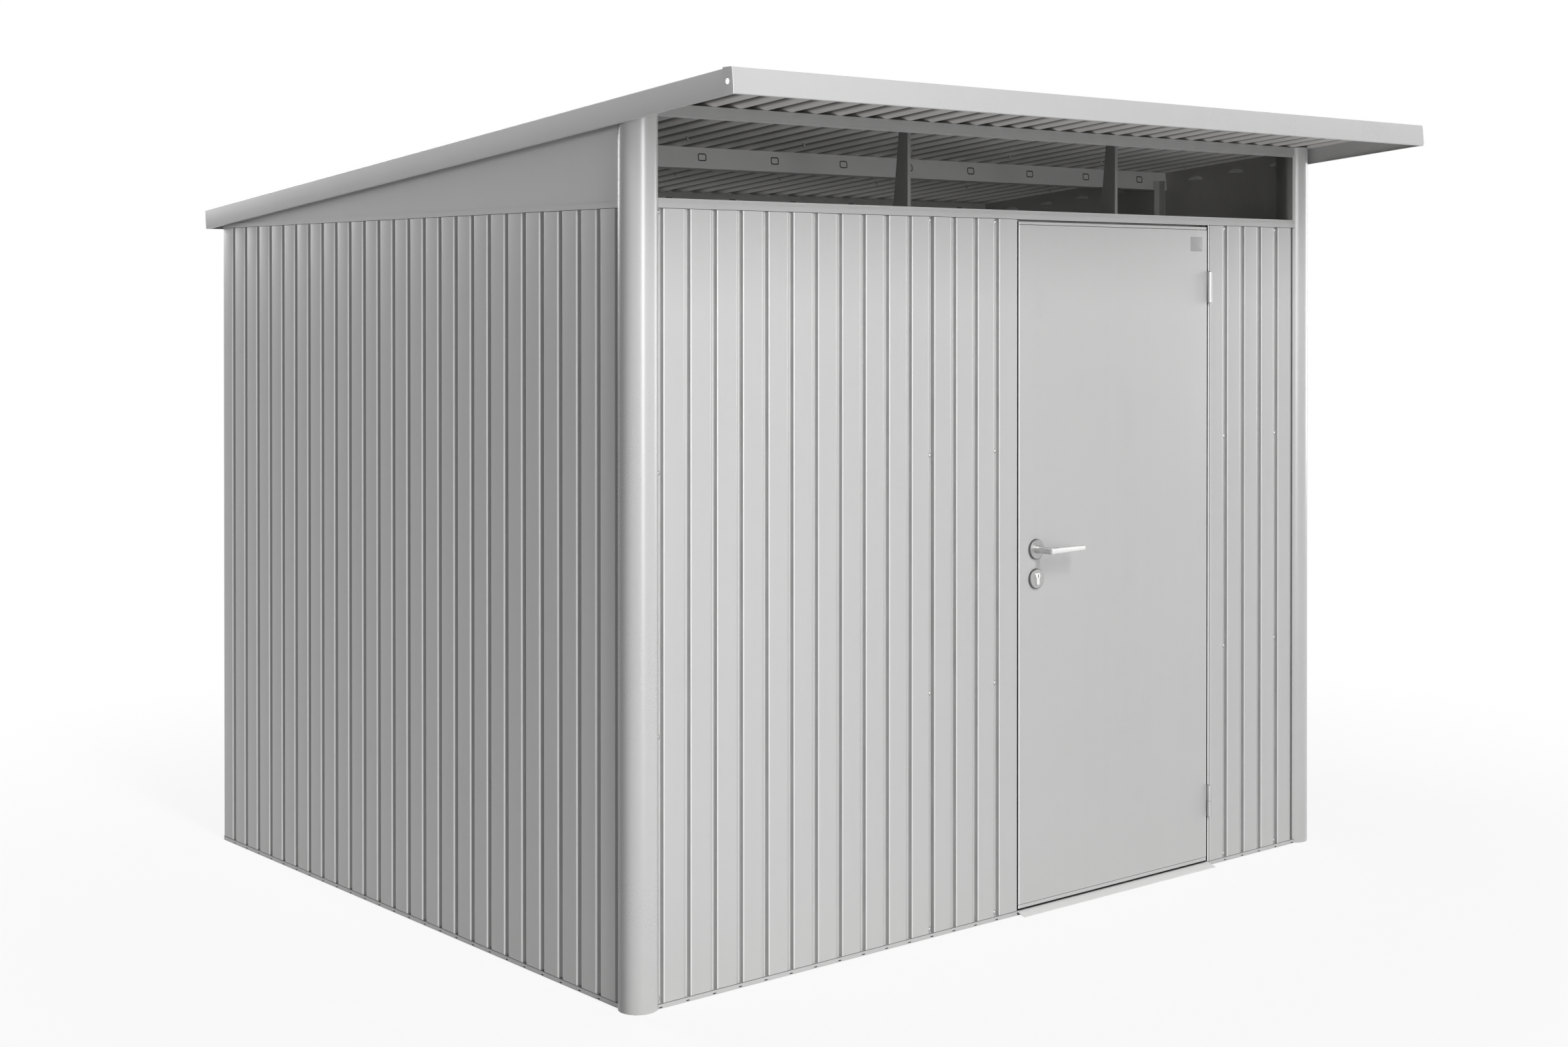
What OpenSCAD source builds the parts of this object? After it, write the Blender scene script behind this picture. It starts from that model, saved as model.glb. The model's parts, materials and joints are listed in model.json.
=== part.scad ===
// Metal storage shed with a lean-to roof, a window band and one hinged door.
// Millimetres, +Z up, front towards -Y, origin under the middle of the roof.
// Each wall is drawn in its own frame: x runs left to right as seen from outside,
// y runs inwards from the outer face of the planks, z is the height.

/* [Body] */
// Width between the outer faces of the side walls
body_w = 2551; // [2400:1:3000]
// Depth between the outer faces of the front and back walls
body_d = 2138; // [1900:1:2600]
// Height at the front edge of the roof
total_h = 2171; // [2150:1:2400]
// Height from the wall sheets' upper edges to the front edge of the roof
band_h = 294; // [280:1:400]
// Gap left between pieces that seat on each other
fit_gap = 0.3; // [0.2:0.1:0.5]

/* [Wall sheets] */
// Thickness of the wall, gable and roof sheets
sheet_t = 0.8; // [0.6:0.1:1.2]
// Distance from groove to groove
plank_pitch = 80; // [60:1:110]
// Depth of a groove
groove_d = 9; // [5:0.1:10]
// Width of the gentle flank of a groove
flank_w = 18; // [12:0.5:20]
// Width of the steep flank of a groove
steep_w = 3; // [2.8:0.1:8]
// Radius of the bends where a plank turns into a groove
bend_r = 4; // [2:0.5:5]
// From the left wall's face to the first groove of the front
front_groove = 80.4; // [76:0.1:90]
// From the front wall's face to the first groove of a side
side_groove = 60.9; // [55:0.1:75]
// Whole planks in the sheet between the front's joint and the door
middle_planks = 3; // [2:1:6]
// Planks in the first sheet of a side
side_planks = 13; // [6:1:18]
// Width of the edge that a side sheet folds round the rear corner
corner_fold = 30; // [15:1:45]

/* [Rails] */
// Thickness of the folded rails
rail_t = 1.2; // [1:0.1:2]
// Height of the base rail's outer strip
base_h = 11; // [8:0.5:20]
// Height of the lip that stands behind the wall sheets
rail_lip = 34; // [20:1:50]
// Width of the base rail's foot and of the top rail's flange
rail_foot = 40; // [25:1:60]
// Height of the strip above the wall sheets
strip_h = 14; // [10:0.5:25]
// Width of the drain slots in the base rail, one below each groove
drain_w = 10; // [6:0.5:11]
// Height of a drain slot
drain_h = 2.7; // [2:0.1:5]
// Leg of the uprights under the purlins' ends
upright_leg = 25; // [15:1:40]

/* [Corner posts] */
// Radius of the round front posts
post_r = 47.5; // [44:0.5:52]
// Distance of a post's middle inside both wall faces
post_inset = 34; // [28:0.5:38]
// Wall of a front post
post_t = 1.5; // [1:0.1:3]
// Leg of the angles in the rear corners
angle_leg = 45; // [30:1:60]

/* [Window band] */
// Height of the sill strip above the rail strip
sill_strip = 10; // [6:0.5:16]
// Step from the rail's face back to the sill strip
window_set = 4; // [2:0.5:6]
// Depth of the header rail
header_depth = 66; // [64:1:90]
// Height from the roof's lower side down to the glass
top_rail_h = 24.5; // [18:0.5:30]
// Height of the lip over the glass
glass_lip = 6; // [4:0.5:10]
// Thickness of the window pane
pane_t = 3; // [2:0.5:5]
// Height of the pane's edge behind the upper lip
pane_edge = 8; // [4:1:12]
// From a side wall's face to the end of the three window bays
window_side = 75.5; // [60:0.5:100]
// Depth of a mullion at its foot
mullion_foot = 54; // [40:1:56]
// Depth of a mullion at its head
mullion_head = 31; // [20:1:39]
// Width of a mullion's front flange
mullion_flange = 11; // [8:0.5:20]
// Thickness of a mullion
mullion_t = 1.5; // [1:0.1:3]

/* [Roof] */
// Fall of the roof towards the back in degrees
roof_slope = 5.18; // [4:0.01:5.6]
// Overhang of the roof at the front
front_over = 390.5; // [250:0.5:500]
// Overhang of the roof at the back
rear_over = 74; // [60:0.5:120]
// Overhang of the roof at each side
side_over = 25.1; // [24:0.1:60]
// Height of the fascia
fascia_h = 59.5; // [50:0.5:80]
// Thickness of the fascia
fascia_t = 1.2; // [1:0.1:2]
// Width of the fascia's upper flange
fascia_flange = 35; // [20:1:50]
// Width of the fascia's lower lip
fascia_lip = 9; // [5:0.5:10]
// Length of one wave of the roof sheets
wave_pitch = 80; // [70:0.5:90]
// Depth of a wave
wave_d = 11; // [8:0.5:18]
// Straight stretches that make up one wave
wave_steps = 12; // [8:1:16]
// Number of roof sheets side by side
roof_sheet_count = 3; // [2:1:4]
// Distance of the purlins behind the front wall's face
purlin_at = [562, 1387];
// Height of a purlin
purlin_h = 57; // [40:1:70]
// Width of a purlin's flanges
purlin_flange = 30; // [20:1:45]
// Height of the lips on a purlin's flanges
purlin_lip = 10; // [6:1:15]
// Setback of the gable plates behind the wall faces
gable_set = 1.5; // [1:0.1:4]

/* [Door] */
// From the right wall's face to the door opening
door_side = 475.5; // [300:0.5:900]
// Width of the door leaf
door_w = 790; // [700:1:820]
// Gap round the door leaf
door_gap = 6; // [5.5:0.1:8]
// Thickness of the door leaf
leaf_t = 28; // [24:0.5:30]
// Thickness of the leaf's skin and folded edges
skin_t = 1; // [0.8:0.1:1.5]
// Step from the skin back to the hems at the leaf's ends
hem_set = 0.8; // [0.4:0.1:1.5]
// Height of the hem at the leaf's upper end
hem_top = 8; // [5:0.5:15]
// Height of the hem at the leaf's lower end
hem_bottom = 10; // [5:0.5:15]
// Width of the lips behind the leaf's edges
leaf_lip = 18; // [10:1:25]
// Height of a stiffener inside the leaf
stiff_h = 60; // [40:1:80]
// Heights of the stiffeners, as shares of the leaf's height
stiff_at = [0.27, 0.77];
// Width of the stop behind the leaf
stop_w = 16; // [10:1:20]
// Depth of the stop
stop_d = 15; // [10:1:20]
// Gap between the leaf and the stop
stop_gap = 5; // [5:0.5:8]
// Width of the jamb's flange behind the wall sheet
jamb_flange = 56; // [30:1:60]
// Height of the sill's upper face
sill_h = 10; // [8:0.5:14]
// Length of the sill's sloping nose
sill_nose = 29; // [20:1:40]
// Thickness of the sill
sill_t = 1.5; // [1:0.1:2]

/* [Hinges] */
// Length of a hinge
hinge_l = 90; // [70:1:120]
// Radius of a hinge knuckle
knuckle_r = 6.5; // [5.5:0.1:6.9]
// Distance of the hinge pin in front of the door's face
hinge_out = 7; // [7:0.1:8]
// Radius of a hinge pin
pin_r = 3.5; // [2.5:0.1:4]
// Clearance of a pin in its knuckle
pin_gap = 0.08; // [0.05:0.01:0.1]
// Distance of the hinges' middles from the leaf's ends
hinge_inset = 175; // [120:1:300]
// Thickness of a hinge flap
flap_t = 2; // [1.5:0.1:2.2]
// Depth of a hinge flap beside the leaf
flap_d = 22; // [15:1:23]

/* [Lock] */
// From the leaf's edge to the handle and the lock
backset = 64; // [55:0.5:75]
// Height of the lever handle
lever_z = 983; // [900:1:1050]
// Distance of the lock below the handle
lock_drop = 80; // [70:0.5:92]
// Radius of the rosettes
rosette_r = 27.5; // [24:0.5:30]
// Thickness of the rosettes
rosette_h = 8; // [5:0.5:12]
// Radius of the rosettes' rounded rim
rosette_rim = 3; // [1:0.5:4]
// Distance of a lever's arm from the surface that the lever stands on
lever_out = 62; // [50:1:75]
// Length of a lever from its axis to its tip
lever_l = 125; // [100:1:140]
// Radius of a lever's neck at the rosette
neck_r = 10.4; // [8:0.1:12]
// Radius of a lever at its mitred corner
corner_r = 9.3; // [7:0.1:10]
// Radius of a lever at its tip
tip_r = 7.1; // [5:0.1:10]
// Side of the square spindle
spindle = 8; // [7:0.5:9]
// Clearance round the spindle and the necks
turn_gap = 0.1; // [0.05:0.01:0.1]
// Radius of the lock cylinder's round part
plug_r = 8.5; // [7:0.1:10]
// Width of the lock cylinder's lower part
plug_w = 10; // [8:0.5:12]
// Height of the lock cylinder
plug_h = 33; // [28:0.5:36]
// Reach of the lock cylinder beyond its rosettes
plug_out = 3; // [1:0.5:6]
// Width of the lock case
case_w = 105; // [98:1:120]
// Height of the lock case
case_h = 200; // [180:1:230]

/* [Hidden] */
$fn = 96;

paint = [0.74, 0.75, 0.75];
paint_dark = [0.62, 0.63, 0.63];
steel = [0.8, 0.8, 0.8];
clear = [0.7, 0.8, 0.8, 0.35];

// Roof plane: its upper side falls from the front edge, which is at total_h
roof_w = body_w + 2 * side_over;
roof_plan = front_over + body_d + rear_over;
roof_l = roof_plan / cos(roof_slope);
fascia_lean = fascia_h * sin(roof_slope);
roof_front = (fascia_lean - roof_plan) / 2;
face_y = roof_front + front_over;
back_y = face_y + body_d;
roof_seat = fascia_t + fit_gap + wave_d + sheet_t;
function roof_under(y) = total_h - (y - roof_front) * tan(roof_slope) - (roof_seat + fit_gap) / cos(roof_slope);

// One groove from plank to plank, its deepest line at 0
bend_steps = 2;
groove = concat(
    bend([-plank_pitch / 2, 0], [-flank_w, 0], [0, groove_d], bend_r),
    [[0, groove_d]],
    bend([0, groove_d], [steep_w, 0], [plank_pitch / 2, 0], bend_r)
);
groove_back = thickened(groove, bend_steps + 1, sheet_t).y;

// Heights and depths that the rails share
seat_u = groove_back + fit_gap;
frame_u = seat_u + rail_t + fit_gap;
wall_top = total_h - band_h;
rail_top = wall_top + strip_h;
window_z = rail_top + sill_strip;
top_rail_z = roof_under(face_y);
lip_z = top_rail_z - top_rail_h;
pane_u = window_set + rail_t + fit_gap;
mullion_u = pane_u + pane_t + fit_gap;

// Door opening and leaf
open_r = body_w / 2 - door_side;
open_l = open_r - door_w - 2 * door_gap;
leaf_l = open_l + door_gap;
leaf_r = open_r - door_gap;
leaf_z = sill_h + door_gap;
leaf_top = wall_top - door_gap;
hinge_x = open_r - door_gap / 2;
stop_u = leaf_t + stop_gap;
lever_x = leaf_l + backset;
lock_z = lever_z - lock_drop;
case_u = leaf_t - skin_t - fit_gap;

// First groove of each wall, in that wall's own frame
front_datum = front_groove - body_w / 2;
left_datum = -(face_y + side_groove);
right_datum = face_y + side_groove;
front_joint = front_datum + plank_pitch * (floor((open_l - front_datum) / plank_pitch) - middle_planks);
left_joint = left_datum - side_planks * plank_pitch;
right_joint = right_datum + side_planks * plank_pitch;

// Folded sheet: a path of bends, thickened to the left of its direction
function unit(v) = v / norm(v);
function left_of(a, b) = let (d = unit(b - a)) [-d.y, d.x];
function thickened(p, i, t) =
    let (
        last = len(p) - 1,
        before = left_of(p[max(i, 1) - 1], p[max(i, 1)]),
        after = left_of(p[min(i, last - 1)], p[min(i, last - 1) + 1])
    )
    p[i] + t * (before + after) / (1 + before * after);
function folded(p, t) = concat(p, [for (i = [len(p) - 1 : -1 : 0]) thickened(p, i, t)]);

// Round bend at b between the stretches to a and c
function bend(a, b, c, r) =
    let (
        u = unit(a - b),
        v = unit(c - b),
        half = acos(u * v) / 2,
        middle = b + unit(u + v) * r / sin(half),
        first = b + u * r / tan(half) - middle,
        second = b + v * r / tan(half) - middle
    )
    [for (k = [0 : bend_steps]) middle + r * unit(first * (bend_steps - k) + second * k)];

// Depth of a wall sheet's outer face at s
function plank_depth(s, datum) =
    let (m = s - datum + plank_pitch / 2)
    lookup(m - plank_pitch * floor(m / plank_pitch) - plank_pitch / 2, groove);

// Planks from a to b
tiny = 0.5;
function planks(a, b, datum) = concat(
    [[a, plank_depth(a, datum)]],
    [for (k = [floor((a - datum) / plank_pitch) : ceil((b - datum) / plank_pitch)], p = groove)
        let (s = datum + k * plank_pitch + p.x) if (s > a + tiny && s < b - tiny) [s, p.y]],
    [[b, plank_depth(b, datum)]]
);

// Distance from a wall's corner at which a piece at this depth clears the round post
function post_reach(depth) = post_inset + sqrt(pow(post_r, 2) - pow(post_inset - depth, 2)) + fit_gap;
// Where a wall sheet meets the post: the groove's depth there is found step by step
sheet_end_steps = 4;
function sheet_end(corner, way, datum, n = sheet_end_steps) =
    let (depth = n == 0 ? groove_d : plank_depth(sheet_end(corner, way, datum, n - 1), datum))
    corner + way * post_reach(depth + sheet_t);

// Frames of the four walls
module on_front() translate([0, face_y, 0]) children();
module on_left() translate([-body_w / 2, 0, 0]) rotate(-90) children();
module on_right() translate([body_w / 2, 0, 0]) rotate(90) children();
module on_back() translate([0, back_y, 0]) rotate(180) children();
// Frame of the roof: y runs down its slope from the front edge, z = 0 is its upper side
module on_roof() translate([0, roof_front, total_h]) rotate([-roof_slope, 0, 0]) children();

// Folded section, drawn as depth and height, from a to b along a wall
module rail(p, t, a, b) translate([a, 0, 0]) rotate([90, 0, 90]) linear_extrude(b - a) polygon(folded(p, t));
// Wall sheet drawn in plan, between the base rail and the rail above
module wall_sheet(p) translate([0, 0, base_h]) linear_extrude(wall_top - base_h) polygon(folded(p, sheet_t));
// Mitres the ends of a rail from a to b, where l and r are 1 for a mitred end
module mitred(a, b, l, r, depth) intersection() {
    children();
    translate([0, 0, -total_h]) linear_extrude(3 * total_h)
        polygon([[a - l, -1], [b + r, -1], [b - r * depth, depth], [a + l * depth, depth]]);
}
// Cuts back what would run into the round posts
module clear_of_posts() difference() {
    children();
    for (side = [-1, 1])
        translate([side * (body_w / 2 - post_inset), face_y + post_inset, -1])
            cylinder(r = post_r + fit_gap, h = total_h + 2);
}
module mirrored() mirror([1, 0, 0]) children();

// Base rails
base_path = [[seat_u, base_h + rail_lip], [seat_u, base_h], [0, base_h], [0, 0], [rail_foot, 0]];
post_side = body_w / 2 - post_reach(rail_t);
// Slots through the outer strip below the grooves from a to b
module drain_slots(a, b, datum)
    for (k = [ceil((a + drain_w - datum) / plank_pitch) : floor((b - datum) / plank_pitch)])
        translate([datum + k * plank_pitch - drain_w, -1, rail_t + fit_gap])
            cube([drain_w, rail_t + 2, drain_h]);
module base_side(a, b, l, r) mitred(a, b, l, r, rail_foot + rail_t) rail(base_path, rail_t, a, b);
module base_rail_left() color(paint) clear_of_posts() on_left() difference() {
    base_side(-back_y, -face_y - post_inset, 1, 0);
    drain_slots(-back_y, -face_y - post_reach(rail_t), left_datum);
}
module base_rail_right() color(paint) clear_of_posts() on_right() difference() {
    base_side(face_y + post_inset, back_y, 0, 1);
    drain_slots(face_y + post_reach(rail_t), back_y, right_datum);
}
module base_rail_back() color(paint) on_back() difference() {
    base_side(-body_w / 2, body_w / 2, 1, 1);
    drain_slots(-body_w / 2, body_w / 2, front_datum);
}
// The lip makes room for the wall sheet's folded edge beside the opening
module base_front(a, b, opening) color(paint) clear_of_posts() on_front() difference() {
    rail(base_path, rail_t, a, b);
    translate([opening - edge_room, seat_u - 1, base_h])
        cube([2 * edge_room, rail_t + 2, rail_lip + 1]);
    drain_slots(max(a, -post_side), min(b, post_side), front_datum);
}
edge_room = sheet_t + fit_gap;
module base_rail_front_left() base_front(post_inset - body_w / 2, open_l, open_l);
module base_rail_front_right() base_front(open_r, body_w / 2 - post_inset, open_r);

// Posts
module front_post_left() color(paint) difference() {
    translate([post_inset - body_w / 2, face_y + post_inset, 0]) difference() {
        cylinder(r = post_r, h = total_h);
        translate([0, 0, -1]) cylinder(r = post_r - post_t, h = total_h + 2);
    }
    on_roof() translate([-roof_w, 0, -roof_seat - fit_gap]) cube([2 * roof_w, roof_l, total_h]);
}
module front_post_right() mirrored() front_post_left();
module rear_angle() translate([frame_u - body_w / 2, back_y - frame_u, rail_t])
    linear_extrude(rail_top - 2 * rail_t)
        polygon(folded([[angle_leg, 0], [0, 0], [0, -angle_leg]], rail_t));
module rear_posts() color(paint_dark) {
    rear_angle();
    mirrored() rear_angle();
}

// Wall sheets
module front_wall_left() color(paint) on_front()
    wall_sheet(planks(sheet_end(-body_w / 2, 1, front_datum), front_joint, front_datum));
// Beside the door the last plank stays flat and its edge folds inwards
edge_u = frame_u - fit_gap;
function plank_before(s) = front_datum + plank_pitch * (floor((s - front_datum) / plank_pitch - 0.5) + 0.5);
function plank_after(s) = front_datum + plank_pitch * (ceil((s - front_datum) / plank_pitch - 0.5) + 0.5);
module front_wall_middle() color(paint) on_front() wall_sheet(concat(
    planks(front_joint, plank_before(open_l), front_datum), [[open_l, 0], [open_l, edge_u]]
));
module front_wall_right() color(paint) on_front() wall_sheet(concat(
    [[open_r, edge_u], [open_r, 0]],
    planks(plank_after(open_r), sheet_end(body_w / 2, -1, front_datum), front_datum)
));
module left_wall_rear() color(paint) on_left()
    wall_sheet(concat([[-back_y, corner_fold]], planks(-back_y, left_joint, left_datum)));
module left_wall_front() color(paint) on_left()
    wall_sheet(planks(left_joint, sheet_end(-face_y, -1, left_datum), left_datum));
module right_wall_front() color(paint) on_right()
    wall_sheet(planks(sheet_end(face_y, 1, right_datum), right_joint, right_datum));
module right_wall_rear() color(paint) on_right()
    wall_sheet(concat(planks(right_joint, back_y, right_datum), [[back_y, corner_fold]]));
back_end = body_w / 2 - corner_fold - fit_gap;
back_joint = front_datum + plank_pitch * round((body_w / 2 - front_groove) / plank_pitch);
module back_wall_right() color(paint) on_back() wall_sheet(planks(-back_end, back_joint, front_datum));
module back_wall_left() color(paint) on_back() wall_sheet(planks(back_joint, back_end, front_datum));

// Rails above the wall sheets
top_path = [
    [rail_foot, rail_top], [0, rail_top], [0, wall_top], [seat_u, wall_top], [seat_u, wall_top - rail_lip]
];
module top_side(a, b, l, r) mitred(a, b, l, r, rail_foot + rail_t) rail(top_path, rail_t, a, b);
module top_rail_left() color(paint) clear_of_posts()
    on_left() top_side(-back_y, -face_y - post_inset, 1, 0);
module top_rail_right() color(paint) mirrored() top_rail_left();
module top_rail_back() color(paint) on_back() top_side(-body_w / 2, body_w / 2, 1, 1);

// Window band
module front_rail(p) color(paint) clear_of_posts() on_front()
    rail(p, rail_t, post_inset - body_w / 2, body_w / 2 - post_inset);
module header_rail() front_rail([
    [header_depth, window_z], [window_set, window_z], [window_set, rail_top], [0, rail_top],
    [0, wall_top], [header_depth, wall_top]
]);
module window_top_rail() front_rail([
    [rail_foot, top_rail_z - rail_foot * tan(roof_slope)], [0, top_rail_z], [0, lip_z],
    [window_set, lip_z], [window_set, lip_z - glass_lip]
]);
pane_end = body_w / 2 - post_reach(pane_u + pane_t);
module window_pane() color(clear) on_front()
    translate([-pane_end, pane_u, window_z])
        cube([2 * pane_end, pane_t, lip_z - glass_lip + pane_edge - window_z]);
function head_z(u) = top_rail_z - u * tan(roof_slope) - rail_t / cos(roof_slope) - fit_gap;
module mullion() rotate([90, 0, 90]) {
    linear_extrude(mullion_t) polygon([
        [mullion_u, window_z], [mullion_u + mullion_foot, window_z],
        [mullion_u + mullion_head, head_z(mullion_u + mullion_head)], [mullion_u, head_z(mullion_u)]
    ]);
    linear_extrude(mullion_flange) polygon([
        [mullion_u, window_z], [mullion_u + mullion_t, window_z],
        [mullion_u + mullion_t, head_z(mullion_u + mullion_t)], [mullion_u, head_z(mullion_u)]
    ]);
}
module mullions() color(paint_dark) on_front()
    for (side = [-1, 1]) translate([side * (body_w / 2 - window_side) / 3, 0, 0]) mullion();

// Gable plates between the rails and the roof
gable_in = gable_set + sheet_t;
gable_front = face_y + post_reach(gable_in);
gable_rear = back_y - gable_set;
module gable_left() color(paint) translate([gable_set - body_w / 2, 0, 0]) rotate([90, 0, 90])
    linear_extrude(sheet_t) polygon([
        [gable_front, rail_top], [gable_rear, rail_top],
        [gable_rear, roof_under(gable_rear)], [gable_front, roof_under(gable_front)]
    ]);
module gable_right() mirrored() gable_left();
inside_w = body_w - 2 * (gable_in + fit_gap);
module gable_back() color(paint) translate([-inside_w / 2, back_y - gable_in, rail_top])
    cube([inside_w, sheet_t, roof_under(gable_rear) - rail_top]);

// Roof
module purlin(y) translate([0, (front_over + y) / cos(roof_slope), -roof_seat - fit_gap])
    rail([
        [purlin_flange, -purlin_lip], [purlin_flange, 0], [0, 0], [0, -purlin_h],
        [purlin_flange, -purlin_h], [purlin_flange, purlin_lip - purlin_h]
    ], rail_t, -inside_w / 2, inside_w / 2);
module purlins() color(paint_dark) on_roof() for (y = purlin_at) purlin(y);
// Angles that stand inside the side walls, in front of the purlins' leaning webs
upright_u = rail_foot + fit_gap;
upright_set = (roof_seat + purlin_h) * sin(roof_slope) + 2 * fit_gap;
module upright(y) on_left() translate([upright_set - face_y - y, upright_u, 0])
    linear_extrude(roof_under(face_y + y) - purlin_h / 2)
        polygon(folded([[0, upright_leg], [0, 0], [upright_leg, 0]], rail_t));
module side_uprights() color(paint_dark) for (y = purlin_at) {
    upright(y);
    mirrored() upright(y);
}
// The sheets meet on the wave's crests, half a wave beside its lowest lines
wave_end = roof_w / 2 - fascia_t - fit_gap;
function wave_joint(k) =
    k == 0 ? -wave_end :
    k == roof_sheet_count ? wave_end :
    wave_pitch * (floor((k / roof_sheet_count - 0.5) * roof_w / wave_pitch) + 0.5);
wave_step = wave_pitch / wave_steps;
function wave_z(x) = wave_d * (1 - cos(360 * x / wave_pitch)) / 2 - roof_seat;
function wave(a, b) = [for (x = concat(
    [a], [for (k = [ceil((a + tiny) / wave_step) : floor((b - tiny) / wave_step)]) k * wave_step], [b]
)) [x, wave_z(x)]];
module roof_sheets() color(paint_dark) on_roof()
    translate([0, roof_l - fascia_t - fit_gap, 0]) rotate([90, 0, 0])
        for (k = [1 : roof_sheet_count])
            linear_extrude(roof_l - 2 * (fascia_t + fit_gap))
                polygon(folded(wave(wave_joint(k - 1) + fit_gap / 2, wave_joint(k) - fit_gap / 2), sheet_t));
fascia_path = [[fascia_flange, 0], [0, 0], [0, -fascia_h], [fascia_lip, -fascia_h]];
module fascia(l) color(paint) mitred(-l / 2, l / 2, 1, 1, fascia_flange + fascia_t)
    rail(fascia_path, fascia_t, -l / 2, l / 2);
module fascia_front() on_roof() fascia(roof_w);
module fascia_back() on_roof() translate([0, roof_l, 0]) rotate(180) fascia(roof_w);
module fascia_left() on_roof() translate([-roof_w / 2, roof_l / 2, 0]) rotate(-90) fascia(roof_l);
module fascia_right() on_roof() translate([roof_w / 2, roof_l / 2, 0]) rotate(90) fascia(roof_l);

// Door frame
module door_sill() color(paint) on_front() rail([
    [stop_u - fit_gap, 0], [stop_u - fit_gap, sill_h], [0, sill_h], [-sill_nose, sill_t]
], sill_t, open_l + fit_gap, open_r - fit_gap);
module jamb() translate([0, 0, rail_t]) linear_extrude(wall_top - rail_t) polygon(folded([
    [-jamb_flange, frame_u], [0, frame_u], [0, stop_u], [stop_w, stop_u],
    [stop_w, stop_u + stop_d], [stop_w - jamb_flange, stop_u + stop_d]
], rail_t));
module door_jamb_left() color(paint) on_front() translate([open_l, 0, 0]) jamb();
module door_jamb_right() color(paint) on_front() translate([open_r, 0, 0]) mirrored() jamb();
module door_head() color(paint) on_front() rail([
    [stop_u + stop_d, wall_top], [stop_u, wall_top], [stop_u, leaf_top - stop_w]
], rail_t, open_l + stop_w + fit_gap, open_r - stop_w - fit_gap);

// Hinges: the lower knuckle and its pin sit on the jamb, the upper knuckle lifts off with the door
knuckle_gap = 1;
knuckle_l = (hinge_l - knuckle_gap) / 2;
module frame_half() {
    translate([0, 0, -hinge_l / 2]) cylinder(r = knuckle_r, h = knuckle_l);
    translate([0, 0, -hinge_l / 2]) cylinder(r = pin_r, h = hinge_l - knuckle_gap);
    translate([door_gap / 2 - flap_t, 0, -hinge_l / 2]) cube([flap_t, hinge_out + flap_d, knuckle_l]);
}
module door_half() difference() {
    union() {
        translate([0, 0, hinge_l / 2 - knuckle_l]) cylinder(r = knuckle_r, h = knuckle_l);
        translate([-door_gap / 2, 0, hinge_l / 2 - knuckle_l]) cube([flap_t, hinge_out + flap_d, knuckle_l]);
    }
    translate([0, 0, -1]) cylinder(r = pin_r + pin_gap, h = hinge_l);
}
module at_hinges() on_front() for (z = [leaf_z + hinge_inset, leaf_top - hinge_inset])
    translate([hinge_x, -hinge_out, z]) children();
module hinge_frame_halves() color(steel) at_hinges() frame_half();
module hinge_door_halves() color(steel) at_hinges() door_half();

// Door leaf: a tray of folded sheet with its open side inwards
leaf_in = leaf_r - leaf_l - 2 * skin_t;
module door_leaf() color(paint) on_front() difference() {
    union() {
        translate([leaf_l, hem_set, leaf_z]) cube([door_w, leaf_t - hem_set, leaf_top - leaf_z]);
        translate([leaf_l, 0, leaf_z + hem_bottom])
            cube([door_w, hem_set + skin_t, leaf_top - hem_top - leaf_z - hem_bottom]);
    }
    translate([leaf_l + skin_t, hem_set + skin_t, leaf_z + skin_t])
        cube([leaf_in, leaf_t - hem_set - 2 * skin_t, leaf_top - leaf_z - 2 * skin_t]);
    translate([leaf_l + leaf_lip, leaf_t / 2, leaf_z + leaf_lip])
        cube([door_w - 2 * leaf_lip, leaf_t, leaf_top - leaf_z - 2 * leaf_lip]);
    lock_holes();
}
stiff_u = hem_set + skin_t + fit_gap;
module door_stiffeners() color(paint_dark) on_front() for (share = stiff_at)
    translate([0, 0, leaf_z + share * (leaf_top - leaf_z)])
    rail([[case_u, stiff_h / 2], [stiff_u, stiff_h / 2], [stiff_u, -stiff_h / 2], [case_u, -stiff_h / 2]],
        rail_t, leaf_l + skin_t + fit_gap, leaf_r - skin_t - fit_gap);

// Lock
module along_y(x, z, u) translate([x, u, z]) rotate([-90, 0, 0]) children();
module plug_outline(gap) {
    circle(r = plug_r + gap);
    translate([-plug_w / 2 - gap, 0]) square([plug_w + 2 * gap, plug_h - plug_r - plug_w / 2]);
    translate([0, plug_h - plug_r - plug_w / 2]) circle(r = plug_w / 2 + gap);
}
plug_rise = (plug_h - 2 * plug_r) / 2;
module lock_plug(u, l, gap) along_y(lever_x, lock_z + plug_rise, u) linear_extrude(l) plug_outline(gap);
spindle_hole = spindle / sqrt(2) + fit_gap;
module lock_holes() {
    along_y(lever_x, lever_z, -1) cylinder(r = spindle_hole, h = leaf_t + 2);
    lock_plug(-1, leaf_t + 2, fit_gap);
}
module lock_case() color(steel) on_front() difference() {
    translate([leaf_l + skin_t + fit_gap, stiff_u, lever_z - lock_drop / 2 - case_h / 2])
        cube([case_w, case_u - stiff_u, case_h]);
    lock_holes();
}
plug_l = case_u + 2 * (rosette_h + plug_out);
module lock_cylinder() color(steel) on_front() lock_plug(-rosette_h - plug_out, plug_l, 0);
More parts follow.
